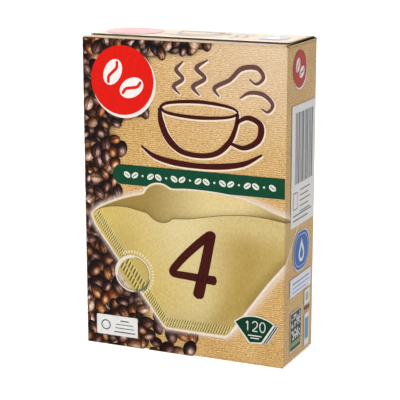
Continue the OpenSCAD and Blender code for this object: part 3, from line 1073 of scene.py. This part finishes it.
# Rows of lines: their left end and right ends, the highest one's foot, the step down, the thickness
# and the inks.
for left, rights, low, step, thick, inks in (
    (21.0, (38.0, 35.0, 38.0, 35.0, 38.0), 100.4, 3.1, 0.7, [GREY] * 5),
    (10.5, (41.0, 35.0), 86.6, 2.8, 0.8, [GREY] * 2),
    (11.5, (39.5, 39.5, 34.5), 46.8, 2.6, 0.7, ["#56646C", "#8C9ACB", "#8C9ACB"]),
):
    for number, (right, ink) in enumerate(zip(rights, inks)):
        fields.append((left, right, low - step * number, low - step * number + thick, 0.05, ink, 8))
for inset, ink, layer in ((0.0, "#D3DCE8", 7), (0.7, BLUE, 8), (2.3, "#A9BEDF", 9), (2.9, BLUE, 10)):
    fields.append((11.8 + inset, 38.4 - inset, 52.8 + inset, 76.6 - inset, 10.5 - inset, ink, layer))
# Squares in ten rows of nine, where a made-up sum of row and column leaves more than 4 over elevens.
for number in range(90):
    row, column = divmod(number, 9)
    if (3 * row * row + 5 * column + 7 * row * column) % 11 > 4:
        left, low = 11.0 + 1.6 * column, 13.6 + 1.52 * row
        fields.append((left, left + 1.5, low, low + 1.3, 0.05, "#D4DAD6", 9))
# The side emblem's red is darker than the front's: painted shade on the side panel.
side = emblem(FRONT + 18.7, 169.8, 10.6, "#B40402")
for left, right, low, high, radius, ink, layer in fields:
    side.append((*spot(rounded_box(FRONT + left, FRONT + right, low, high, radius)), ink, layer))
drop = smooth_line([(0, 8.6), (-1.8, 5.0), (-4.6, 0.4), (-5.4, -3.2), (-3.6, -6.8), (0, -8.2),
                    (3.6, -6.8), (5.4, -3.2), (4.6, 0.4), (1.8, 5.0), (0, 8.6)], 60)[:-1]
side.append((*spot(0.84 * drop + (FRONT + 25.1, 64.8)), "#DCE6F2", 11))
side.append((*spot(0.46 * drop + (FRONT + 25.1, 63.6)), BLUE, 12))
print_shapes("print_side_panel", side, ink_material)


# The print on the upper outer flap: the emblem, the cup and a blue field again, in a row. Their inks
# are set for this face by themselves, because it is lit otherwise than the front: the cup's and the
# blue field's inks are paler and greyer than the front's, as painted sheen.
def on_lid(x, y, lift):
    """Place on the outer face of the upper outer flap."""
    return np.stack([x, y, TALL + lift + 0 * x], -1)


lid = [(*spot(oval(-42.5, 4.5, 34.0, 33.0, 60)), "#CC2820", 0)]
for line, width in (
    ([(-17, 16), (-15, 6), (-4, 1), (7, 6), (9, 16)], [1.2, 2.0, 1.6, 2.0, 1.2]),
    ([(-17, 16), (-4, 18), (9, 16), (-4, 14), (-17, 16)], 0.9),
    ([(8, 13), (14, 13), (15, 8), (8, 6)], 1.4),
    ([(-22, 0), (-4, -5), (14, 0)], [0.8, 1.8, 0.8]),
    ([(20, -4), (23, 2), (20, 8), (24, 14)], [0.8, 1.6, 0.8]),
    ([(26, -4), (29, 2), (26, 8), (30, 14)], [0.8, 1.6, 0.8]),
):
    lid.append((*brush(smooth_line(line, 60), width), "#76656C", 0))
lid.append((*spot(rounded_box(37.0, 53.0, -5.0, 12.0, 5.0)), "#9299B4", 0))
lid.append((*spot(0.72 * drop + (45.0, 3.6)), "#DDD9E0", 1))
print_shapes("print_top_flap", lid, ink_material, on_lid)


# The floor is a lit white table of opal acrylic, as product photographs are taken on, wide enough
# to fill every view. The light is a soft box over the front left, a white room that is bright at the
# horizon and overhead, and a bright wall far behind that shows as gloss on the carton's top.
FLOOR_REACH = 30.0
FLOOR_GAP = 0.1
floor_material, tree = new_material("lit_opal_acrylic")
shader = node(tree, "BsdfPrincipled", {"Base Color": linear("#CBCBCB"), "Roughness": 0.9,
                                       "Specular IOR Level": 0.1, "Emission Color": linear("#FFFFFF"),
                                       "Emission Strength": 0.8})
node(tree, "OutputMaterial", {0: shader})
floor_mesh = bpy.data.meshes.new("floor")
corners = np.array([(-1, -1, 0), (1, -1, 0), (1, 1, 0), (-1, 1, 0)]) * FLOOR_REACH - (0, 0, FLOOR_GAP * MM)
floor_mesh.from_pydata(corners.tolist(), [], [(0, 1, 2, 3)])
floor_mesh.materials.append(floor_material)
floor = bpy.data.objects.new("floor", floor_mesh)
bpy.context.collection.objects.link(floor)

# The soft box is a square area light aimed at the carton's middle, in degrees, metres and watts.
BOX_AZIMUTH = -14
BOX_HEIGHT = 34
BOX_DISTANCE = 1.6
BOX_SIZE = 1.1
BOX_POWER = 17.5
lamp = bpy.data.lights.new("key_light", "AREA")
lamp.size = BOX_SIZE
lamp.energy = BOX_POWER
soft_box = bpy.data.objects.new("key_light", lamp)
to_box = away(BOX_AZIMUTH, BOX_HEIGHT)
soft_box.location = to_box * BOX_DISTANCE + Vector((0, 0, TALL / 2 * MM))
soft_box.rotation_euler = to_box.to_track_quat("Z", "Y").to_euler()
soft_box.visible_camera = False
bpy.context.collection.objects.link(soft_box)

world = bpy.data.worlds.new("white_room")
world.use_nodes = True
bpy.context.scene.world = world
tree = world.node_tree
tree.nodes.clear()
# Heights here are sines of the elevation.
WALL_WAY = (-0.4, 0.9, 0.15)
WALL_LIGHT = 3.3
way = node(tree, "TexCoord").outputs["Generated"]
height = node(tree, "SeparateXYZ", {0: way}).outputs[2]
horizon = node(tree, "MapRange", {0: height, 1: 0.08, 2: 0.3, 3: 1.0, 4: 0.2})
overhead = node(tree, "MapRange", {0: height, 1: 0.7, 2: 0.9, 4: 0.9})
behind = node(tree, "VectorMath", {0: way, 1: WALL_WAY}, operation="DOT_PRODUCT").outputs[1]
wall = node(tree, "MapRange", {0: behind, 1: 0.8, 2: 0.97, 4: WALL_LIGHT})
room = node(tree, "Math", {0: horizon, 1: overhead}, operation="ADD")
glow = node(tree, "Math", {0: room, 1: wall}, operation="ADD")
node(tree, "OutputWorld", {0: node(tree, "Background", {0: (1, 1, 1, 1), 1: glow})})
